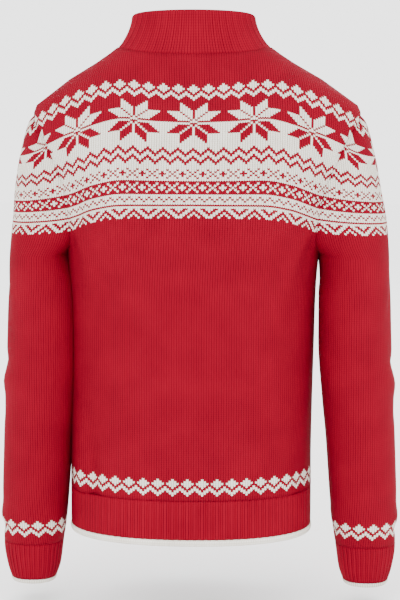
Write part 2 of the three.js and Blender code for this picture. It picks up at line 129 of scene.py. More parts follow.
def curve(knots: Sequence[tuple[float, float]]) -> Callable[[np.ndarray], np.ndarray]:
    """A smooth curve through knots that never overshoots them.

    Args:
        knots: Pairs of position and value, in rising order of position.

    Returns:
        A function of one array of positions.
    """
    at = np.array([k[0] for k in knots], float)
    value = np.array([k[1] for k in knots], float)
    slope = np.diff(value) / np.diff(at)
    tangent = np.zeros_like(value)
    tangent[0], tangent[-1] = slope[0], slope[-1]
    product = slope[:-1] * slope[1:]
    total = slope[:-1] + slope[1:]
    tangent[1:-1] = np.where(product > 0, 2 * product / np.where(total == 0, 1, total), 0)

    def smooth(position: np.ndarray) -> np.ndarray:
        """The curve's value at each position."""
        p = np.clip(np.asarray(position, float), at[0], at[-1])
        i = np.clip(np.searchsorted(at, p, side="right") - 1, 0, len(at) - 2)
        span = at[i + 1] - at[i]
        t = (p - at[i]) / span
        s = 1 - t
        return (s * s * (1 + 2 * t) * value[i] + t * t * (3 - 2 * t) * value[i + 1]
                + span * t * s * (s * tangent[i] - t * tangent[i + 1]))

    return smooth


half_width = curve([
    (-661, 164), (-601, 164), (-560, 163.5), (-476, 164.5), (-400, 166), (-340, 167), (-300, 168),
    (-275, 170), (-240, 176.5), (-196, 188), (-150, 205), (-120, 215), (-100, 219), (-88, 219),
    (-80, 216.5), (-70, 209), (-59, 194), (-48, 176), (-25, 137), (-14, 120), (0, 101),
])
back_depth = curve([
    (-661, 112), (-600, 109), (-500, 106), (-400, 109), (-240, 117), (-150, 115), (-101, 102),
    (-56, 76), (-20, 61), (0, 56),
])
front_depth = curve([
    (-661, 110), (-600, 107), (-500, 105), (-400, 108), (-240, 115), (-150, 113), (-100, 103),
    (-75, 94), (-30, 74), (0, 66),
])
squareness = curve([(-661, 2.25), (-275, 2.3), (-100, 2.3), (0, 2)])
lean = curve([(-661, 4.2), (-350, 3), (-240, -1), (-150, -4), (-90, -4.5), (-30, -2), (0, -1), (60, 0)])
armhole_x = curve([
    (-275, 170), (-268, 167), (-255, 163.5), (-238, 164.5), (-220, 166.5), (-196, 170), (-175, 176),
    (-155, 185), (-129, 196), (-111, 206), (-96, 216.5), (-88, 219),
])
front_neck_z = curve([(0, -75), (30, -71), (60, -55), (85, -30), (97, -10), (101, 0)])
back_neck_z = curve([(0, -7), (50, -6), (80, -3.5), (101, 0)])
sleeve_outer = curve([
    (-738, 261), (-714, 268), (-686, 272), (-616, 273), (-560, 271), (-392, 263), (-294, 260),
    (-238, 256), (-182, 248.5), (-154, 243.6), (-126, 237), (-98, 228), (-88, 219),
])
sleeve_inner = curve([
    (-738, 202), (-714, 194), (-686, 190), (-658, 185.5), (-616, 181), (-525, 174), (-476, 169),
    (-392, 163), (-330, 163), (-300, 167), (-275, 170),
])
sleeve_depth = curve([(-738, 32), (-700, 39), (-650, 45), (-520, 53), (-400, 60), (-275, 64)])
sleeve_backset = curve([(-738, 8), (-600, 12), (-450, 17), (-350, 15), (-275, 7), (-220, 2), (-150, 0)])
sleeve_lean = curve([(-738, -7.7), (-238, -7.7), (-182, -5), (-88, -4.5)])
# How far a knitted row hangs below its middle, by distance from the centre line.
droop_high = curve([
    (0, 0), (50, -2.5), (90, -6.5), (115, -4), (134, 1), (152, 8), (171, 16), (188, 26), (204, 36), (222, 46),
])
droop_star = curve([(0, 0), (50, -1.5), (95, -4), (130, 4), (156, 14), (175, 21), (205, 34), (222, 42)])
droop_low = curve([(0, 0), (50, 1), (95, 3), (128, 9), (150, 18), (166, 26), (205, 40)])


def droop(x: np.ndarray, level: float) -> np.ndarray:
    """How far below its middle the row of a level hangs at x."""
    x = np.abs(x)
    if level > -50:
        return droop_high(x)
    if level > -115:
        t = (-50 - level) / 65
        return droop_high(x) * (1 - t) + droop_star(x) * t
    if level > -225:
        t = (-115 - level) / 110
        return droop_star(x) * (1 - t) + droop_low(x) * t
    t = min(1.0, (-225 - level) / 230)
    return droop_low(x) * (1 - t) ** 1.5


def body_y(x: np.ndarray, z: np.ndarray, face: Face) -> np.ndarray:
    """Depth of the body's outer surface, signed for the face."""
    depth = back_depth if face is Face.BACK else front_depth
    n = squareness(z)
    reach = np.minimum(1, np.abs(x) / half_width(z))
    return face.value * depth(z) * (1 - reach ** n) ** (1 / n)


def top_edge(x: np.ndarray, face: Face) -> np.ndarray:
    """Height of a panel's top edge: the neckline, then the shoulder ridge."""
    ridge_z = np.linspace(TIP_Z, 0, 400)
    ridge = np.interp(np.abs(x), half_width(ridge_z)[::-1], ridge_z[::-1])
    neck = back_neck_z if face is Face.BACK else front_neck_z
    return np.where(np.abs(x) <= NECK_HALF_WIDTH, neck(np.abs(x)), ridge)


def profile_levels() -> np.ndarray:
    """Height of each knitted row at the middle of the back, from the neck down."""
    z = np.linspace(-7, PANEL_END_Z, 3000)
    y = back_depth(z)
    arc = np.concatenate([[0], np.cumsum(np.hypot(np.diff(z), np.diff(y)))])
    count = int(round(arc[-1] / ROW))
    return np.interp(np.linspace(0, arc[-1], count + 1), arc, z)


LEVELS = profile_levels()
YOKE_START = int(np.argmin(np.abs(LEVELS - YOKE_END_Z))) - YOKE_ROWS
BAND_ROWS = 9
BAND_START = len(LEVELS) - 1 - BAND_ROWS - 3


# ---------- the pattern, charted: True is the cream yarn ------------------
class Yoke:
    """The Nordic chart by row (0 at the top) and column (0 on a star's axis)."""

    DIAMONDS = [{0}, {0, 1}, {0, 1, 2}, {0, 1}, {0, 3}, {2, 3}, {1, 2}, {0, 1}, {0}]
    STAR = [
        {0, 1}, {0, 2, 3, 4, 5, 6}, {1, 3, 4, 5, 6, 7}, {1, 2, 4, 5, 6, 7, 8}, {1, 2, 3, 5, 6, 7, 8, 9},
        {1, 2, 3, 4, 6, 7, 8, 9, 10}, {1, 2, 3, 4, 5}, {2, 3, 4, 5}, {3, 4, 5}, {4, 5}, {5},
    ]
    PEERIE = [{2}, {1}, {0}, {1}, {2}]
    CROSS = [set(), {4}, {3, 4}, {4}, set()]
    BORDER = [{0, 1, 4, 5}, {0, 3, 4}, {2, 3, 6}, {1, 2, 5}, {0, 1, 4}]

    @staticmethod
    def folded(column: int, period: int) -> int:
        """Distance from the nearest axis of a repeat."""
        c = column % period
        return min(c, period - c)

    @classmethod
    def diamond(cls, row: int, column: int) -> bool:
        """The diamonds with the cream zigzag below them, 6 stitches wide."""
        c = cls.folded(column, 6)
        return c in cls.DIAMONDS[row]

    @classmethod
    def star(cls, row: int, column: int) -> bool:
        """The eight-petalled star, 24 stitches wide, cream on red above and red on cream below."""
        c = cls.folded(column, 24)
        if row < 11:
            return c in cls.STAR[10 - row]
        return c not in cls.STAR[row - 11]

    @classmethod
    def zigzag(cls, row: int, column: int) -> bool:
        """Two red zigzags on cream."""
        first = min(cls.folded(column, 6), 3)
        return not (row in (first, first + 1) or row in (first + 4, first + 5))

    @classmethod
    def peerie(cls, row: int, column: int) -> bool:
        """Small crosses, 8 stitches wide; True where the motif's stitch is."""
        c = cls.folded(column, 8)
        return c in cls.PEERIE[row] or c in cls.CROSS[row]

    @classmethod
    def cream(cls, row: int, column: int) -> bool:
        """Whether the yoke's stitch is cream."""
        if row < 9:
            return cls.diamond(row, column)
        if row < 11:
            return False
        if row < 33:
            return cls.star(row - 11, column)
        if row < 35:
            return True
        if row < 44:
            return cls.zigzag(row - 35, column)
        if row < 46:
            return True
        if row < 51:
            return not cls.peerie(row - 46, column)
        if row == 51:
            return True
        if row < 59:
            return 53 <= row < 58 and cls.peerie(row - 53, column)
        if row == 59:
            return True
        k = column - 5
        if row < 63:
            small = cls.folded(k, 4)
            return small != (0, 1, 2)[row - 60]
        if row == 63:
            return True
        if row == 64:
            return False
        if row == 65:
            return True
        return cls.folded(k, 12) in cls.BORDER[row - 66]


def is_cream(row: int, column: int, band_start: int = BAND_START) -> bool:
    """Whether a stitch of a panel or sleeve is cream.

    Args:
        row: Knitted row, counted down from the neck.
        column: Stitch, counted from the piece's middle.
        band_start: First row of the narrow band above the rib.

    Returns:
        True for cream, False for red.
    """
    if YOKE_START <= row < YOKE_START + YOKE_ROWS:
        return Yoke.cream(row - YOKE_START, column)
    if band_start <= row < band_start + BAND_ROWS:
        return Yoke.diamond(row - band_start, column)
    return False


# ---------- finishes ----------
class Shade:
    """A shader socket whose operators add Math nodes."""

    def __init__(self, tree: bpy.types.NodeTree, socket: bpy.types.NodeSocket) -> None:
        """Wraps one output socket of a tree."""
        self.tree = tree
        self.socket = socket

    def math(self, operation: str, *values: "Shade | float") -> "Shade":
        """Adds a Math node on this socket and the values."""
        return Finish.node(self.tree, "ShaderNodeMath", {"operation": operation}, [self, *values])

    def __add__(self, other: "Shade | float") -> "Shade":
        """Sum."""
        return self.math("ADD", other)

    __radd__ = __add__

    def __sub__(self, other: "Shade | float") -> "Shade":
        """Difference."""
        return self.math("SUBTRACT", other)

    def __rsub__(self, other: float) -> "Shade":
        """Reflected difference."""
        return (self * -1.0) + other

    def __mul__(self, other: "Shade | float") -> "Shade":
        """Product."""
        return self.math("MULTIPLY", other)

    __rmul__ = __mul__


class Finish:
    """Base of the finishes: makes a material once."""

    name = "finish"

    @staticmethod
    def node(tree: bpy.types.NodeTree, kind: str, settings: dict, values: Sequence | dict,
             output: int | str = 0) -> Shade:
        """Adds a node.

        Args:
            tree: The material's node tree.
            kind: The node's type.
            settings: Attributes set before the sockets.
            values: Values or links of its sockets, in order or by name.
            output: The output to return.

        Returns:
            The wrapped output.
        """
        made = tree.nodes.new(kind)
        for key, value in settings.items():
            setattr(made, key, value)
        pairs = values.items() if isinstance(values, dict) else enumerate(values)
        for key, value in pairs:
            if isinstance(value, Shade):
                tree.links.new(value.socket, made.inputs[key])
            else:
                made.inputs[key].default_value = value
        return Shade(tree, made.outputs[output])

    @staticmethod
    def noise(tree: bpy.types.NodeTree, place: Shade, scale: float, detail: float) -> Shade:
        """Soft noise over the piece's own coordinates."""
        values = {"Vector": place, "Scale": scale, "Detail": detail}
        return Finish.node(tree, "ShaderNodeTexNoise", {}, values, "Fac")

    def start(self) -> tuple[bpy.types.Material, bpy.types.NodeTree, bpy.types.Node]:
        """An empty node material and its Principled shader."""
        material = bpy.data.materials.new(self.name)
        material.use_nodes = True
        tree = material.node_tree
        return material, tree, tree.nodes["Principled BSDF"]

    @staticmethod
    def mix(tree: bpy.types.NodeTree, factor: Shade | float, a: object, b: object) -> Shade:
        """Mixes two colours."""
        made = tree.nodes.new("ShaderNodeMix")
        made.data_type = "RGBA"
        for socket, value in ((made.inputs[0], factor), (made.inputs[6], a), (made.inputs[7], b)):
            if isinstance(value, Shade):
                tree.links.new(value.socket, socket)
            else:
                socket.default_value = value
        return Shade(tree, made.outputs[2])


# RED and CREAM are the yarns' own colours. The deep ones are painted shade in the valleys between the stitch
# legs and columns, and also the darker patches of the yarns' random tone.
RED = (0.265, 0.0003, 0.014, 1)
RED_SHADE_AND_DARK_TONE = (0.075, 0.0001, 0.004, 1)
CREAM = (0.92, 0.89, 0.81, 1)
CREAM_SHADE_AND_DARK_TONE = (0.34, 0.28, 0.20, 1)


@dataclass(frozen=True)
class Knit(Finish):
    """Stocking stitch in two yarns, drawn on the piece's stitch-and-row UV map."""

    name: str = "nordic knit"
    relief: float = 0.0011
    plain: float | None = None

    def build(self) -> bpy.types.Material:
        """The knit's material."""
        material, tree, shader = self.start()
        uv = Finish.node(tree, "ShaderNodeUVMap", {"uv_map": "knit"}, {})
        split = tree.nodes.new("ShaderNodeSeparateXYZ")
        tree.links.new(uv.socket, split.inputs[0])
        u, v = Shade(tree, split.outputs[0]), Shade(tree, split.outputs[1])
        across = u.math("FRACT")
        wing = (across - 0.5).math("ABSOLUTE")
        leg = (wing * (4 * math.pi) - math.pi / 2).math("SINE") * 0.5 + 0.5
        slant = (v + wing * 1.5).math("FRACT")
        strand = (slant * math.pi).math("SINE").math("POWER", 0.6)
        column = (wing * math.pi).math("COSINE").math("MAXIMUM", 0.0).math("POWER", 0.7)
        place = Finish.node(tree, "ShaderNodeTexCoord", {}, {}, "Object")
        fuzz = Finish.noise(tree, place, 1400.0, 3.0)
        height = leg.math("POWER", 0.5) * strand * 0.6 + column * 0.6 + fuzz * 0.25
        # Painted shade: the colour darkens in the valleys between the stitch legs and between the stitch
        # columns.
        shadow = leg.math("POWER", 0.6) * strand * 0.5 + column * 0.5
        if self.plain is None:
            yarn = Finish.node(tree, "ShaderNodeAttribute", {"attribute_name": "yarn"}, {}, "Fac")
        else:
            yarn = Finish.node(tree, "ShaderNodeValue", {}, {})
            yarn.socket.default_value = self.plain
        cloud = Finish.noise(tree, place, 26.0, 4.0)
        # The painted shade, mixed with the cloud (the yarn's random tone), chooses between the deep colour
        # and the plain colour.
        shade_and_tone = (shadow * 1.1 + cloud * 0.4 - 0.3).math("MINIMUM", 1.0).math("MAXIMUM", 0.0)
        red = Finish.mix(tree, shade_and_tone, RED_SHADE_AND_DARK_TONE, RED)
        cream = Finish.mix(tree, shade_and_tone, CREAM_SHADE_AND_DARK_TONE, CREAM)
        colour = Finish.mix(tree, yarn, red, cream)
        bump = Finish.node(tree, "ShaderNodeBump", {},
                           {"Strength": 0.75, "Distance": self.relief, "Height": height})
        tree.links.new(colour.socket, shader.inputs["Base Color"])
        tree.links.new(bump.socket, shader.inputs["Normal"])
        rough = 0.95 - strand * 0.12
        tree.links.new(rough.socket, shader.inputs["Roughness"])
        shader.inputs["Specular IOR Level"].default_value = 0.06
        return material


@dataclass(frozen=True)
class Tape(Finish):
    """Woven zip tape: a fine herringbone in deep red."""

    name: str = "zip tape"

    def build(self) -> bpy.types.Material:
        """The tape's material."""
        material, tree, shader = self.start()
        place = Finish.node(tree, "ShaderNodeTexCoord", {}, {}, "Object")
        rib = Finish.node(tree, "ShaderNodeTexWave", {"bands_direction": "DIAGONAL"},
                          {"Vector": place, "Scale": 420.0, "Distortion": 0.4}, "Fac")
        colour = Finish.mix(tree, rib, (0.16, 0.002, 0.006, 1), (0.30, 0.004, 0.012, 1))
        bump = Finish.node(tree, "ShaderNodeBump", {}, {"Strength": 0.5, "Distance": 0.0003, "Height": rib})
        tree.links.new(colour.socket, shader.inputs["Base Color"])
        tree.links.new(bump.socket, shader.inputs["Normal"])
        shader.inputs["Roughness"].default_value = 0.8
        return material


@dataclass(frozen=True)
class Nickel(Finish):
    """Polished nickel with faint handling marks."""

    name: str = "nickel"

    def build(self) -> bpy.types.Material:
        """The metal's material."""
        material, tree, shader = self.start()
        place = Finish.node(tree, "ShaderNodeTexCoord", {}, {}, "Object")
        marks = Finish.noise(tree, place, 900.0, 5.0)
        colour = Finish.mix(tree, marks, (0.46, 0.46, 0.47, 1), (0.66, 0.66, 0.66, 1))
        tree.links.new(colour.socket, shader.inputs["Base Color"])
        rough = marks * 0.25 + 0.16
        tree.links.new(rough.socket, shader.inputs["Roughness"])
        shader.inputs["Metallic"].default_value = 1.0
        return material


# ---------- shells ----------
def select(piece: bpy.types.Object) -> None:
    """Makes a piece the only selected object, and the active one."""
    bpy.ops.object.select_all(action="DESELECT")
    piece.select_set(True)
    bpy.context.view_layer.objects.active = piece


def link(mesh: bpy.types.Mesh) -> bpy.types.Object:
    """Puts a mesh into the scene as a selected object of the same name."""
    piece = bpy.data.objects.new(mesh.name, mesh)
    bpy.context.scene.collection.objects.link(piece)
    select(piece)
    return piece


def face_outwards() -> None:
    """Turns the faces of the active piece outwards."""
    bpy.ops.object.mode_set(mode="EDIT")
    bpy.ops.mesh.select_all(action="SELECT")
    bpy.ops.mesh.normals_make_consistent(inside=False)
    bpy.ops.object.mode_set(mode="OBJECT")


def run_of(line: np.ndarray) -> np.ndarray:
    """Length along a line of points, from 0 at its first one."""
    return np.concatenate([[0], np.cumsum(np.linalg.norm(np.diff(line, axis=0), axis=1))])


def along(line: np.ndarray, run: np.ndarray, at: np.ndarray | float) -> np.ndarray:
    """Places on a line at given lengths along it."""
    return np.stack([np.interp(at, run, line[:, k]) for k in range(3)], -1)


@dataclass
class Cloth:
    """A grid of points that becomes a thin closed shell."""

    name: str
    points: list = field(default_factory=list)
    stitches: list = field(default_factory=list)
    cream: list = field(default_factory=list)

    def mesh(self, material: bpy.types.Material, wall: float = WALL) -> bpy.types.Object:
        """Makes the shell's object.

        Args:
            material: The finish of the piece.
            wall: Thickness of the cloth, in millimetres.

        Returns:
            The finished object, welded, solidified and smooth.
        """
        grid = np.array(self.points)
        uv = np.array(self.stitches)
        rows, columns = grid.shape[:2]
        flat = grid.reshape(-1, 3)
        keys, owner = np.unique(np.round(flat, 2), axis=0, return_inverse=True)
        owner = owner.reshape(-1)
        verts = np.zeros((len(keys), 3))
        verts[owner] = flat
        index = np.arange(rows * columns).reshape(rows, columns)
        quads = np.stack([index[:-1, :-1], index[:-1, 1:], index[1:, 1:], index[1:, :-1]], -1).reshape(-1, 4)
        yarn = np.array(self.cream, float).reshape(-1) if len(self.cream) else np.zeros(len(quads))
        faces, loops_uv, tints = [], [], []
        flat_uv = uv.reshape(-1, 2)
        for quad, tint in zip(quads, yarn):
            ids, corners = [], []
            for q in quad:
                v = int(owner[q])
                if v not in ids:
                    ids.append(v)
                    corners.append(q)
            if len(ids) < 3:
                continue
            faces.append(ids)
            loops_uv.extend(flat_uv[q] for q in corners)
            tints.append(tint)
        mesh = bpy.data.meshes.new(self.name)
        mesh.from_pydata((verts * MM).tolist(), [], faces)
        layer = mesh.uv_layers.new(name="knit")
        layer.data.foreach_set("uv", np.array(loops_uv, float).reshape(-1))
        attribute = mesh.attributes.new("yarn", "FLOAT", "FACE")
        attribute.data.foreach_set("value", np.array(tints, float))
        mesh.materials.append(material)
        mesh.update()
        piece = link(mesh)
        self._finish(piece, wall)
        return piece

    @staticmethod
    def _finish(piece: bpy.types.Object, wall: float) -> None:
        """Gives the cloth its wall and smooths it."""
        thick = piece.modifiers.new("wall", "SOLIDIFY")
        thick.thickness = wall * MM
        thick.offset = -1
        thick.use_even_offset = False
        bpy.ops.object.modifier_apply(modifier="wall")
        bpy.ops.object.shade_smooth()


def place(piece: bpy.types.Object, node: str, slot: str) -> None:
    """Lets a piece ride on the garment in place of its solid."""
    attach(piece, "garment")
    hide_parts(node)
    LOG.info("%s: %d faces", piece.name, len(piece.data.polygons))


def fine_rows(total: int, zones: Sequence[tuple[int, int]], step: int = 3) -> list[int]:
    """Row numbers kept as mesh rows: every row in the patterned zones, every third elsewhere."""
    rows = [r for r in range(total + 1)
            if any(a <= r <= b for a, b in zones) or r % step == 0 or r == total]
    return rows


def fold(a: np.ndarray, b: np.ndarray, at: tuple[float, float], run: tuple[float, float],
         wide: float, long: float, high: float) -> np.ndarray:
    """A soft ridge (or trough, where high is negative) along a line.

    Args:
        a: Sideways places.
        b: Heights.
        at: The fold's middle.
        run: Direction that the fold runs in.
        wide: Half its width.
        long: Half its length.
        high: Its height.

    Returns:
        The outward move at each place.
    """
    length = math.hypot(*run)
    ux, uz = run[0] / length, run[1] / length
    down = (a - at[0]) * ux + (b - at[1]) * uz
    off = (a - at[0]) * -uz + (b - at[1]) * ux
    return high * np.exp(-((off / wide) ** 2) - (down / long) ** 2)


@dataclass
class Panel:
    """The back or one front, knitted down from the neck and shoulder."""

    name: str
    face: Face
    hand: Hand | None = None

    def creases(self, x: np.ndarray, z: np.ndarray) -> np.ndarray:
        """Outward move of the panel's folds."""
        side = np.sign(x)
        r = np.abs(x)
        move = fold(r, z, (158, -262), (0.45, 1), 9, 34, -5.0)
        move += fold(r, z, (140, -285), (0.5, 1), 11, 48, 3.0)
        move += fold(r, z, (150, -215), (0.15, 1), 8, 30, -2.6) * (side > 0)
        move += fold(x, z, (128, -570), (0.06, 1), 9, 60, -4.0)
        move += fold(x, z, (147, -575), (0.04, 1), 9, 70, 2.5)
        move += fold(x, z, (-150, -560), (-0.05, 1), 10, 60, -2.2)
        move += fold(x, z, (-60, -470), (0.35, 1), 34, 90, 1.8)
        move += fold(x, z, (70, -430), (-0.4, 1), 36, 80, 1.6)
        if self.face is Face.FRONT:
            move += fold(r, z, (70, -590), (0.1, 1), 14, 50, 2.0)
            move += fold(r, z, (118, -300), (0.6, 1), 14, 60, 2.2)
        return move

    def row(self, r: int) -> tuple[np.ndarray, np.ndarray]:
        """One side of a knitted row, from the middle to the panel's edge.

        Returns:
            Its points (x, y, z) and the length along it.
        """
        level = float(LEVELS[r])
        start = 0.0 if self.hand is None else ZIP_HALF_GAP
        x = np.linspace(start, 222, 1400)
        z = np.maximum(level - droop(x, level), PANEL_END_Z)
        if r == len(LEVELS) - 1:
            z = np.full_like(x, PANEL_END_Z)
        top = top_edge(x, self.face)
        z = np.where(x <= NECK_HALF_WIDTH, np.minimum(z, top), z)
        edge = np.where(z >= UNDERARM_Z, np.where(z > TIP_Z, 219, armhole_x(z)), half_width(z))
        outside = (z > top + 1e-6) | (x > edge)
        if outside.any():
            last = int(np.argmax(outside))
            last = max(last, 2)
            x, z = x[:last], z[:last]
            if z[-1] > TIP_Z and x[-1] > NECK_HALF_WIDTH:
                z[-1] = top_edge(x[-1:], self.face)[0]
            elif z[-1] >= UNDERARM_Z:
                x[-1] = armhole_x(z[-1:])[0] if z[-1] <= TIP_Z else x[-1]
            else:
                x[-1] = half_width(z[-1:])[0]
        y = body_y(x, z, self.face)
        points = np.stack([x, y, z], -1)
        run = run_of(points)
        return points, run

    def half(self, r: int, sign: int, halves: int) -> tuple[np.ndarray, np.ndarray]:
        """Points at every half stitch on one side of a row."""
        points, run = self.row(r)
        at = np.minimum(np.arange(halves + 1) * STITCH / 2, run[-1])
        out = along(points, run, at)
        push = self.creases(sign * out[:, 0], out[:, 2])
        n = squareness(out[:, 2])
        depth = back_depth(out[:, 2]) if self.face is Face.BACK else front_depth(out[:, 2])
        nx = (out[:, 0] / half_width(out[:, 2])) ** (n - 1) / half_width(out[:, 2])
        ny = (np.abs(out[:, 1]) / depth) ** (n - 1) / depth
        size = np.hypot(nx, ny) + 1e-9
        fade = np.clip((run[-1] - at) / 12, 0, 1)
        fade = np.where(at >= run[-1], 0, fade)
        out[:, 0] += push * fade * nx / size
        out[:, 1] += push * fade * ny / size * self.face.value
        out[:, 0] = sign * out[:, 0] + lean(out[:, 2])
        out[:, 1] -= self.face.value * SEAM_LAP
        return out, at / STITCH

    def build(self, material: bpy.types.Material) -> bpy.types.Object:
        """Knits the panel."""
        zones = [(YOKE_START - 1, YOKE_START + YOKE_ROWS + 1), (BAND_START - 1, BAND_START + BAND_ROWS + 1)]
        rows = fine_rows(len(LEVELS) - 1, zones)
        halves = int(max(self.row(r)[1][-1] for r in rows) / STITCH * 2) + 2
        cloth = Cloth(self.name)
        for r in rows:
            if self.hand is None:
                right, u = self.half(r, -1, halves)
                left, _ = self.half(r, 1, halves)
                line = np.concatenate([right[::-1], left[1:]])
                us = np.concatenate([-u[::-1], u[1:]])
            else:
                line, us = self.half(r, self.hand.value, halves)
                us = us + 1.0
            cloth.points.append(line)
            cloth.stitches.append(np.stack([us + 0.5, np.full_like(us, -float(r))], -1))
        self.colour(cloth, rows)
        self.drop_middles(cloth, rows)
        if self.hand is not Hand.LEFT:
            self.turn(cloth)
        return cloth.mesh(material)

    @staticmethod
    def turn(cloth: Cloth) -> None:
        """Reverses the columns, so that the faces look the other way."""
        cloth.points = [p[::-1] for p in cloth.points]
        cloth.stitches = [s[::-1] for s in cloth.stitches]
        cloth.cream = [c[::-1] for c in cloth.cream]

    @staticmethod
    def colour(cloth: Cloth, rows: Sequence[int], band_start: int = BAND_START) -> None:
        """Gives each cell the yarn of its stitch."""
        for j, r in enumerate(rows[:-1]):
            us = cloth.stitches[j][:, 0]
            middles = (us[:-1] + us[1:]) / 2
            cloth.cream.append([is_cream(r, int(math.floor(m)), band_start) for m in middles])

    @staticmethod
    def drop_middles(cloth: Cloth, rows: Sequence[int]) -> None:
        """Lowers the middle of every stitch by half a row, which gives each its V."""
        for j, r in enumerate(rows[:-1]):
            if j == 0 or rows[j + 1] - r > 1 or r - rows[j - 1] > 1:
                continue
            u = cloth.stitches[j][:, 0]
            middle = np.abs(u - np.floor(u) - 0.5) < 0.02
            middle[0] = middle[-1] = False
            step = cloth.points[j + 1] - cloth.points[j]
            small = np.linalg.norm(step, axis=1) < 2 * ROW
            use = middle & small
            cloth.points[j] = cloth.points[j] + np.where(use[:, None], step * 0.45, 0)
            cloth.stitches[j][use, 1] -= 0.45


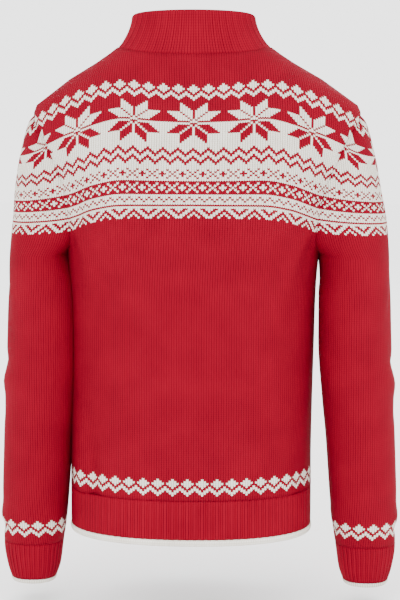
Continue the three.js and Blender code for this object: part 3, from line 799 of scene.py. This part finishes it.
@dataclass
class Sleeve:
    """A set-in sleeve: a sheet at the cap that closes to a tube under the arm."""

    hand: Hand

    def line(self, z: float, t: np.ndarray, side: int) -> np.ndarray:
        """Half a section at height z, from the outer edge (t 0) to the seam or inner edge (t 1)."""
        zz = np.array([z])
        cap = z >= UNDERARM_Z
        hand = self.hand.value
        face = Face.BACK if side > 0 else Face.FRONT
        seam_y = float(body_y(armhole_x(zz), zz, face)[0]) if cap else 0.0
        closing = min(1.0, max(0.0, (-220 - z) / 55)) if cap else 1.0
        backset = float(sleeve_backset(zz)[0])
        deep = side * float(sleeve_depth(np.array([min(z, UNDERARM_Z)]))[0])
        outer_x = hand * float(sleeve_outer(zz)[0]) + float(sleeve_lean(zz)[0])
        if cap:
            inner_x = hand * float(armhole_x(zz)[0]) + float(lean(zz)[0])
            belly = max(abs(seam_y), 6) * 0.75 * (1 - closing) * side + (4 / 3) * deep * closing
        else:
            under = np.array([UNDERARM_Z])
            settle = max(0.0, 1 - (UNDERARM_Z - z) / 40)
            inner_x = (hand * float(sleeve_inner(zz)[0]) + float(sleeve_lean(zz)[0])
                       + float(lean(under)[0] - sleeve_lean(under)[0]) * settle)
            seam_y = backset * min(1.0, (UNDERARM_Z - z) / 60)
            belly = (4 / 3) * deep
        rise = min(1.0, (TIP_Z - z) / 60)
        outward = (outer_x - inner_x) * 0.42 * (1 - closing)
        held = abs(seam_y / deep) if cap else 0.0
        bulge = side * 7 * rise * (1 - closing) + (4 / 3) * deep * closing * (1 - held)
        s = 1 - t
        x = (s ** 3 + 3 * s * s * t) * outer_x + 3 * s * t * t * (inner_x + outward) + t ** 3 * inner_x
        y = (s ** 3 * backset + 3 * s * s * t * (backset + belly) + 3 * s * t * t * (seam_y + bulge)
             + t ** 3 * seam_y)
        if not cap:
            depth = np.where(y > 0, back_depth(zz), front_depth(zz))
            clear = SEAM_GAP + (SLEEVE_CLEAR - SEAM_GAP) * min(1.0, (UNDERARM_Z - z) / 25)
            n = squareness(zz)
            wall = half_width(zz) * (1 - np.minimum(1, np.abs(y) / depth) ** n) ** (1 / n)
            wall = np.where(np.abs(y) < depth, wall, 0)
            limit = hand * (wall + clear) + lean(zz)
            x = np.maximum(x, limit) if hand > 0 else np.minimum(x, limit)
        return np.stack([x + hand * SEAM_GAP, y, np.full_like(x, z)], -1)

    def row(self, z: float, drop: float, side: int) -> tuple[np.ndarray, np.ndarray]:
        """Half a knitted row that hangs by drop at the outer edge."""
        t = np.linspace(0, 1, 160)
        if drop < 0.05:
            points = self.line(z, t, side)
        else:
            points = np.array([self.line(z - drop * (1 - v * v), np.array([v]), side)[0] for v in t])
        run = run_of(points)
        return points, run

    def creases(self, points: np.ndarray, side: int) -> np.ndarray:
        """Outward move of the sleeve's folds, by depth and height."""
        a, z = points[:, 1], points[:, 2]
        move = fold(a, z, (22, -455), (1, 0.35), 13, 44, 3.2)
        move += fold(a, z, (12, -428), (1, 0.3), 9, 40, -2.6)
        move += fold(a, z, (-14, -482), (1, -0.4), 10, 36, -2.4)
        move += fold(a, z, (10, -640), (1, -0.3), 11, 44, 2.4)
        move += fold(a, z, (4, -662), (1, 0.15), 8, 40, -2.2)
        move += fold(a, z, (30, -330), (0.5, -1), 10, 50, -2.2)
        return move

    def half(self, z: float, drop: float, side: int, halves: int) -> tuple[np.ndarray, np.ndarray]:
        """Points at every half stitch on the back or front of a row."""
        points, run = self.row(z, drop, side)
        at = np.minimum(np.arange(halves + 1) * STITCH / 2, run[-1])
        out = along(points, run, at)
        centre = np.array([self.hand.value * 218.0, float(sleeve_backset(np.array([z]))[0])])
        way = out[:, :2] - centre
        way /= np.linalg.norm(way, axis=1)[:, None] + 1e-9
        fade = np.clip((run[-1] - at) / 14, 0, 1)
        fade *= np.clip((TIP_Z - out[:, 2]) / 40, 0, 1) * np.clip((out[:, 2] - CUFF_TOP_Z) / 8, 0, 1)
        if z < -300:
            inner = self.hand.value * (out[:, 0] - self.hand.value * 185) < 0
            fade = np.where(inner, 0, fade)
        out[:, :2] += way * (self.creases(out, side) * fade)[:, None]
        return out, at / STITCH

    def build(self, material: bpy.types.Material) -> bpy.types.Object:
        """Knits the sleeve."""
        panel = Panel("measure", Face.BACK)
        edges = np.array([panel.row(r)[0][-1][2] for r in range(len(LEVELS))])
        first = int(np.argmax(edges < TIP_Z - 0.5))
        heights = {r: float(edges[r]) for r in range(first, len(LEVELS)) if edges[r] > -300}
        last = max(heights)
        below = int(round((heights[last] - CUFF_TOP_Z) / ROW))
        for k in range(1, below + 1):
            heights[last + k] = heights[last] + (CUFF_TOP_Z - heights[last]) * k / below
        total = last + below
        band = total - BAND_ROWS - 5
        zones = [(YOKE_START - 1, YOKE_START + YOKE_ROWS + 1), (band - 1, band + BAND_ROWS + 1)]
        rows = [r for r in fine_rows(total, zones) if r >= first]
        halves = int(190 / STITCH * 2)
        cloth = Cloth(f"sleeve_{self.hand.name.lower()}_knit")
        tip = self.line(TIP_Z, np.array([1.0]), 1)[0]
        cloth.points.append(np.repeat(tip[None], 2 * halves + 1, axis=0))
        cloth.stitches.append(np.stack([np.arange(-halves, halves + 1) / 2 + 0.5,
                                        np.full(2 * halves + 1, -float(first - 1))], -1))
        for r in rows:
            z = heights[r]
            grow = min(1.0, max(0.0, (TIP_Z - z) / 26))
            ease = min(1.0, max(0.0, (z + 300) / 165))
            drop = 18.0 * grow * ease
            back, u = self.half(z, drop, 1, halves)
            front, _ = self.half(z, drop, -1, halves)
            cloth.points.append(np.concatenate([back[::-1], front[1:]]))
            us = np.concatenate([-u[::-1], u[1:]])
            cloth.stitches.append(np.stack([us + 0.5, np.full_like(us, -float(r))], -1))
        numbers = [first - 1, *rows]
        Panel.colour(cloth, numbers, band)
        Panel.drop_middles(cloth, numbers)
        if self.hand is Hand.RIGHT:
            Panel.turn(cloth)
        return cloth.mesh(material)


@dataclass
class RibBand:
    """A ribbed or tipping band round a closed or open line."""

    name: str
    path: Callable[[float], np.ndarray]
    top: float
    bottom: float
    period: float
    relief: float
    closed: bool
    outwards: Callable[[np.ndarray], np.ndarray]
    per_rib: int = 8
    levels: int = 12
    bead: float = 0.0

    def build(self, material: bpy.types.Material, wall: float) -> bpy.types.Object:
        """Makes the band."""
        cloth = Cloth(self.name)
        middle = self.path((self.top + self.bottom) / 2)
        run = run_of(middle)
        ribs = max(1, int(round(run[-1] / self.period)))
        columns = ribs * self.per_rib + 1
        for j in range(self.levels + 1):
            f = j / self.levels
            z = self.top + (self.bottom - self.top) * f
            line = self.path(z)
            part = run_of(line)
            at = np.linspace(0, part[-1], columns)
            points = along(line, part, at)
            phase = np.arange(columns) / self.per_rib
            wave = np.abs(np.sin(np.pi * phase)) ** 0.55 - 0.75
            normal = self.outwards(points)
            swell = self.bead * (1 - (2 * f - 1) ** 2)
            ends = 1 - 0.5 * (np.abs(2 * f - 1) ** 8)
            points = points + normal * (wave * self.relief * ends + swell)[:, None]
            if self.closed:
                points[-1] = points[0]
            cloth.points.append(points)
            drop = -(self.top - z) / ROW
            cloth.stitches.append(np.stack([phase * self.period / STITCH, np.full(columns, drop)], -1))
        return cloth.mesh(material, wall)


def section_normals(points: np.ndarray) -> np.ndarray:
    """Outward normals of a level line that runs with its outside on the left."""
    step = np.gradient(points, axis=0)
    normal = np.stack([step[:, 1], -step[:, 0], np.zeros(len(points))], -1)
    return normal / (np.linalg.norm(normal, axis=1)[:, None] + 1e-9)


class Hem:
    """The ribbed hem with its cream edge, in a back and two front pieces."""

    @staticmethod
    def path(face: Face, hand: Hand | None) -> Callable[[float], np.ndarray]:
        """The line of one hem piece at a height, from the wearer's right to left seen from outside."""

        def line(z: float) -> np.ndarray:
            if hand is None:
                angle = np.linspace(-math.pi / 2, math.pi / 2, 500)
            else:
                angle = np.linspace(0, math.pi / 2, 260)
            zz = np.full_like(angle, z)
            reach = half_width(zz)
            if hand is None:
                x = reach * np.sin(angle)
            else:
                x = hand.value * (ZIP_HALF_GAP + (reach - ZIP_HALF_GAP) * np.sin(angle))
            y = body_y(x, zz, face) + face.value * SEAM_GAP / 2
            points = np.stack([x + lean(zz), y, zz], -1)
            return points if hand is Hand.LEFT else points[::-1]

        return line

    def build(self, red: bpy.types.Material, cream: bpy.types.Material) -> None:
        """Makes the three ribs and their tippings."""
        pieces = (("back", Face.BACK, None), ("front_left", Face.FRONT, Hand.LEFT),
                  ("front_right", Face.FRONT, Hand.RIGHT))
        for name, face, hand in pieces:
            line = self.path(face, hand)
            rib = RibBand(f"hem_{name}_ribbing", line, PANEL_END_Z - SEAM_GAP, HEM_TIPPING_Z + 0.2, 9.9, 1.5,
                          False, section_normals).build(red, 2.6)
            place(rib, f"hem_rib_{name}", "red_rib")
            edge = RibBand(f"hem_{name}_edge", line, HEM_TIPPING_Z - 0.2, HEM_Z, 3.3, 0.5, False,
                           section_normals, 4, 6, 0.9).build(cream, 3.0)
            place(edge, f"hem_tipping_{name}", "cream_tipping")


class Cuff:
    """A ribbed cuff with its cream edge."""

    def __init__(self, hand: Hand) -> None:
        """The cuff of one side."""
        self.sleeve = Sleeve(hand)
        self.hand = hand

    def path(self, z: float) -> np.ndarray:
        """The closed line of the cuff at a height, with its outside on the left."""
        t = np.linspace(0, 1, 220)
        back = self.sleeve.line(z, t, 1)
        front = self.sleeve.line(z, t, -1)
        points = np.concatenate([back[::-1], front[1:]])
        return points if self.hand is Hand.LEFT else points[::-1]

    def build(self, red: bpy.types.Material, cream: bpy.types.Material) -> None:
        """Makes the rib and the tipping."""
        side = self.hand.name.lower()

        def outwards(points: np.ndarray) -> np.ndarray:
            centre = points.mean(axis=0)
            way = (points - centre) * np.array([1, 1, 0])
            return way / (np.linalg.norm(way, axis=1)[:, None] + 1e-9)

        rib = RibBand(f"cuff_{side}_ribbing", self.path, CUFF_TOP_Z - SEAM_GAP, CUFF_TIPPING_Z + 0.2,
                      6.8, 1.2, True, outwards).build(red, 2.6)
        place(rib, f"cuff_{side}", "red_rib")
        edge = RibBand(f"cuff_{side}_edge", self.path, CUFF_TIPPING_Z - 0.2, CUFF_Z, 3.4, 0.5, True, outwards,
                       4, 6, 0.9).build(cream, 3.0)
        place(edge, f"cuff_tipping_{side}", "cream_tipping")


@dataclass
class Collar:
    """The doubled stand collar: ribbed outside and inside, folded at the top."""

    top_half_width: float = 82.0
    top_back_y: float = 50.0
    top_front_y: float = -72.0
    top_side_z: float = 42.0
    top_back_z: float = 52.0
    top_front_z: float = -10.0
    thickness: float = 5.2
    ribs: int = 108

    def point(self, angle: np.ndarray, hand: int, rise: float) -> np.ndarray:
        """Points of the collar's middle line at angles from the centre front."""
        sine, cosine = np.sin(angle), np.cos(angle)
        front = cosine > 1e-9

        def across(reach: float) -> np.ndarray:
            return hand * np.where(front, ZIP_HALF_GAP + (reach - ZIP_HALF_GAP) * sine, reach * sine)

        x = across(NECK_HALF_WIDTH)
        z = np.where(front, front_neck_z(np.abs(x)), back_neck_z(np.abs(x)))
        y = np.where(front, body_y(x, z, Face.FRONT), body_y(x, z, Face.BACK))
        fx, fz = x + lean(z), z + SEAM_GAP + 0.5
        tx = across(self.top_half_width)
        ty = np.where(front, self.top_front_y * cosine, -self.top_back_y * cosine)
        lift = np.where(front, (self.top_front_z - self.top_side_z) * np.abs(cosine) ** 1.4,
                        (self.top_back_z - self.top_side_z) * np.abs(cosine) ** 0.7)
        tz = self.top_side_z + lift
        draw = 1 - (1 - max(0.0, rise)) ** 1.8
        return np.stack([fx + (tx - fx) * draw, y + (ty - y) * draw, fz + (tz - fz) * rise], -1)

    def ring(self, rise: float, columns: int) -> np.ndarray:
        """The open line round the neck at a rise, from the left front edge to the right one."""
        angle = np.linspace(0, math.pi, 400)
        left = self.point(angle, 1, rise)
        right = self.point(angle, -1, rise)
        line = np.concatenate([left, right[::-1][1:]])
        run = run_of(line)
        at = np.linspace(0, run[-1], columns)
        return along(line, run, at)

    def build(self, material: bpy.types.Material) -> bpy.types.Object:
        """Makes the collar as one folded closed form."""
        per_rib = 6
        columns = self.ribs * per_rib + 1
        phase = np.arange(columns) / per_rib
        wave = np.abs(np.sin(np.pi * phase)) ** 0.6 - 0.7
        rises = [-0.05, -0.02, 0, 0.02, 0.05, 0.09, *np.linspace(0.14, 0.93, 14), 0.965, 0.99, 1.0]
        outer, inner = [], []
        for rise in rises:
            line = self.ring(rise, columns)
            way = line * np.array([1 / self.top_half_width ** 2, 1 / 60 ** 2, 0])
            way /= np.linalg.norm(way, axis=1)[:, None]
            way[0] = way[-1] = (0, -1, 0)
            tuck = math.sqrt(max(0.0, 1 - (max(0.0, rise - 0.93) / 0.07) ** 2))
            seam = 0.9 * math.exp(-((rise - 0.045) / 0.035) ** 2)
            relief = 0.75 * min(1.0, max(0.0, rise) / 0.09)
            half = self.thickness / 2
            middle = 1.6 - 3.0
            out = middle + 0.2 + half * tuck + seam + wave * relief
            inn = middle + 0.2 - half * tuck - wave * relief * 0.6
            outer.append(line + way * out[:, None])
            inner.append(line + way * inn[:, None])
        cloth = Cloth("collar_ribbing")
        loop = [*outer, *inner[::-1][1:]]
        count = len(loop)
        for j, line in enumerate([*loop, loop[0]]):
            cloth.points.append(line)
            v = np.full(columns, float(j) * 2.9 / 3)
            cloth.stitches.append(np.stack([phase * 1.45, v], -1))
        return self.closed(cloth, material, columns, count)

    @staticmethod
    def closed(cloth: Cloth, material: bpy.types.Material, columns: int, count: int) -> bpy.types.Object:
        """A tube of loops with its two ends capped."""
        verts = np.concatenate(cloth.points[:count]) * MM
        faces, uvs = [], []
        for j in range(count):
            k = (j + 1) % count
            for i in range(columns - 1):
                faces.append([j * columns + i, j * columns + i + 1, k * columns + i + 1, k * columns + i])
                for jj, ii in ((j, i), (j, i + 1), (j + 1, i + 1), (j + 1, i)):
                    uvs.append(cloth.stitches[jj][ii])
        for i, flip in ((0, False), (columns - 1, True)):
            cap = [j * columns + i for j in range(count)]
            faces.append(cap[::-1] if flip else cap)
            uvs.extend([(0.0, 0.0)] * count)
        mesh = bpy.data.meshes.new(cloth.name)
        mesh.from_pydata(verts.tolist(), [], faces)
        mesh.uv_layers.new(name="knit").data.foreach_set("uv", np.array(uvs, float).reshape(-1))
        mesh.materials.append(material)
        piece = link(mesh)
        face_outwards()
        bpy.ops.object.shade_smooth_by_angle(angle=math.radians(60))
        return piece


@dataclass
class Zip:
    """The closed zip: teeth on both tapes, with the solids' tapes, slider and pull tab."""

    pitch: float = 2.1
    tooth: tuple[float, float, float] = (3.2, 1.9, 1.25)

    def one_tooth(self) -> bpy.types.Mesh:
        """A rounded metal tooth, modelled once at the origin."""
        bpy.ops.object.select_all(action="DESELECT")
        bpy.ops.mesh.primitive_cube_add(size=1)
        tooth = bpy.context.active_object
        tooth.scale = [v * MM for v in self.tooth]
        bpy.ops.object.transform_apply(scale=True)
        round_off = tooth.modifiers.new("edges", "BEVEL")
        round_off.width = 0.28 * MM
        round_off.segments = 1
        bpy.ops.object.modifier_apply(modifier="edges")
        mesh = tooth.data.copy()
        bpy.data.objects.remove(tooth)
        return mesh

    def build(self, frame: dict, metal: bpy.types.Material, tape: bpy.types.Material) -> None:
        """Sets the teeth down the front and dresses the hard pieces."""
        line = self.line()
        run = run_of(line)
        tooth = self.one_tooth()
        base = np.array([v.co[:] for v in tooth.vertices])
        faces = [list(p.vertices) for p in tooth.polygons]
        verts, polygons = [], []
        count = int(run[-1] / (self.pitch / 2))
        for k in range(count):
            at = (k + 0.5) * self.pitch / 2
            centre, ahead = along(line, run, at), along(line, run, at + 1)
            way = (ahead - centre) / np.linalg.norm(ahead - centre)
            out = np.cross(way, (1, 0, 0))
            out /= np.linalg.norm(out)
            if out[1] > 0:
                out = -out
            basis = np.stack([(1, 0, 0), out, way])
            side = 1 if k % 2 else -1
            shift = centre + np.array([side * 0.95, 0, 0])
            start = len(verts)
            verts.extend((base @ basis + shift * MM).tolist())
            polygons.extend([[v + start for v in f] for f in faces])
        mesh = bpy.data.meshes.new("zip_teeth")
        mesh.from_pydata(verts, [], polygons)
        mesh.materials.append(metal)
        teeth = link(mesh)
        face_outwards()
        place(teeth, "zip_chain", "zip_metal")
        dressed = {"zip_slider": metal, "pull_tab": metal, "zip_tape_left": tape, "zip_tape_right": tape}
        for node, finish in dressed.items():
            frame["nodes"][node].data.materials.clear()
            frame["nodes"][node].data.materials.append(finish)

    @staticmethod
    def line() -> np.ndarray:
        """The middle of the chain, from the slider down to the hem."""
        collar = Collar()
        top = [collar.point(np.array([0.0]), 1, 0.80 * f)[0] - np.array([ZIP_HALF_GAP, 0, 0])
               for f in (1, 0.75, 0.5, 0.25, 0)]
        z = np.linspace(-100, HEM_Z + 4, 40)
        below = np.stack([lean(z), -front_depth(z), z], -1)
        line = np.concatenate([np.array(top), below])
        run = np.gradient(line, axis=0)
        inwards = np.stack([np.zeros(len(line)), -run[:, 2], run[:, 1]], -1)
        inwards /= np.linalg.norm(inwards, axis=1)[:, None]
        inwards *= np.sign(inwards[:, 1])[:, None]
        return line + inwards * 3.3


@dataclass
class Studio:
    """Camera, soft light and a pale floor."""

    eye: tuple[float, float, float] = (-0.12, 2.7, 0.04)
    aim: tuple[float, float, float] = (-0.0085, 0.0, -0.344)
    view_height: float = 0.8265
    floor_drop: float = 0.03

    def build(self) -> None:
        """Sets the stage."""
        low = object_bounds()[0][2]
        bpy.ops.object.select_all(action="DESELECT")
        bpy.ops.mesh.primitive_plane_add(size=12, location=(0, 0, low - self.floor_drop))
        floor = bpy.context.active_object
        floor.name = "floor"
        pale = bpy.data.materials.new("pale floor")
        pale.use_nodes = True
        pale.node_tree.nodes["Principled BSDF"].inputs["Base Color"].default_value = (0.96, 0.96, 0.96, 1)
        pale.node_tree.nodes["Principled BSDF"].inputs["Roughness"].default_value = 0.9
        floor.data.materials.append(pale)
        floor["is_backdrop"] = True
        world = bpy.data.worlds.new("studio")
        bpy.context.scene.world = world
        world.use_nodes = True
        world.node_tree.nodes["Background"].inputs["Color"].default_value = (1, 1, 1, 1)
        world.node_tree.nodes["Background"].inputs["Strength"].default_value = 3.0
        self.lamp("key", (0.9, 2.6, 1.5), 1.3, 36)
        self.lamp("fill", (-1.9, 2.0, 0.4), 1.8, 12)
        self.lamp("front", (-1.0, -2.5, 1.2), 1.6, 26)
        data = bpy.data.cameras.new("camera")
        camera = bpy.data.objects.new("camera", data)
        bpy.context.scene.collection.objects.link(camera)
        camera.location = self.eye
        look = Vector(self.aim) - camera.location
        camera.rotation_euler = look.to_track_quat("-Z", "Y").to_euler()
        data.sensor_fit = "VERTICAL"
        data.angle = 2 * math.atan(self.view_height / 2 / look.length)
        bpy.context.scene.camera = camera

    @staticmethod
    def lamp(name: str, at: tuple[float, float, float], size: float, power: float) -> None:
        """Adds a soft square lamp that looks at the garment's middle."""
        data = bpy.data.lights.new(name, "AREA")
        data.size = size
        data.energy = power
        lamp = bpy.data.objects.new(name, data)
        bpy.context.scene.collection.objects.link(lamp)
        lamp.location = at
        lamp.rotation_euler = (Vector((0, 0, -0.35)) - Vector(at)).to_track_quat("-Z", "Y").to_euler()


def main() -> None:
    """Builds the cardigan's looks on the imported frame."""
    logging.basicConfig(level=logging.INFO)
    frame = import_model()
    Studio().build()
    knit = Knit().build()
    rib = Knit(name="red ribbing", relief=0.0007, plain=0.0).build()
    tipping = Knit(name="cream tipping", relief=0.0006, plain=1.0).build()

    back = Panel("back_knit", Face.BACK).build(knit)
    place(back, "back", "nordic_knit")
    for hand in Hand:
        side = hand.name.lower()
        front = Panel(f"front_{side}_knit", Face.FRONT, hand).build(knit)
        place(front, f"front_{side}", "nordic_knit")
        sleeve = Sleeve(hand).build(knit)
        place(sleeve, f"sleeve_{side}", "nordic_knit")
        Cuff(hand).build(rib, tipping)
    Hem().build(rib, tipping)
    collar = Collar().build(rib)
    place(collar, "collar", "red_rib")
    Zip().build(frame, Nickel().build(), Tape().build())


if __name__ == "__main__":
    main()
